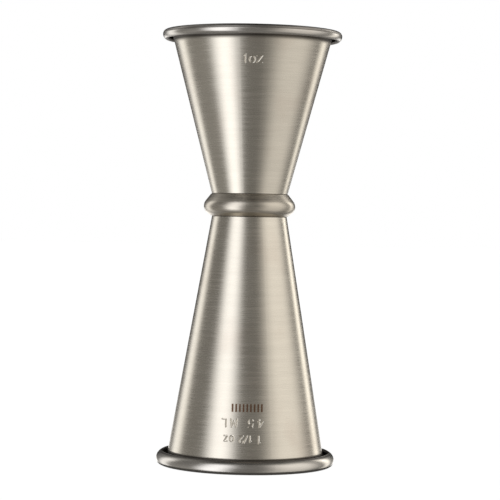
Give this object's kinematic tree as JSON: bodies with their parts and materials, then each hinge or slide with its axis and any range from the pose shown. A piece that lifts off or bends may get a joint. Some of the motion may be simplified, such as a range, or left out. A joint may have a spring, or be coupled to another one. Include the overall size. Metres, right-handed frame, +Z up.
{
  "type": "bar jigger",
  "caption": "Double-ended bar measure: a small and a large drawn steel cup joined floor to floor, with a bulged ring round the waist and rolled rims.",
  "frame": {"origin": "middle of the circle that the lower rim stands on", "axes": "+Z up the axis of both cups, from the larger cup's mouth to the smaller cup's mouth; -Y faces the side with the fill marks"},
  "size_m": [0.0462, 0.0462, 0.1119],
  "materials": {
    "cup_steel": "brushed round the axis, satin",
    "ring_steel": "fine satin",
    "weld_steel": "dull, as welded"
  },
  "bodies": {
    "root": {"upper_cup": "cup_steel", "lower_cup": "cup_steel", "waist_ring": "ring_steel", "weld_nuggets": "weld_steel"}
  },
  "joints": []
}
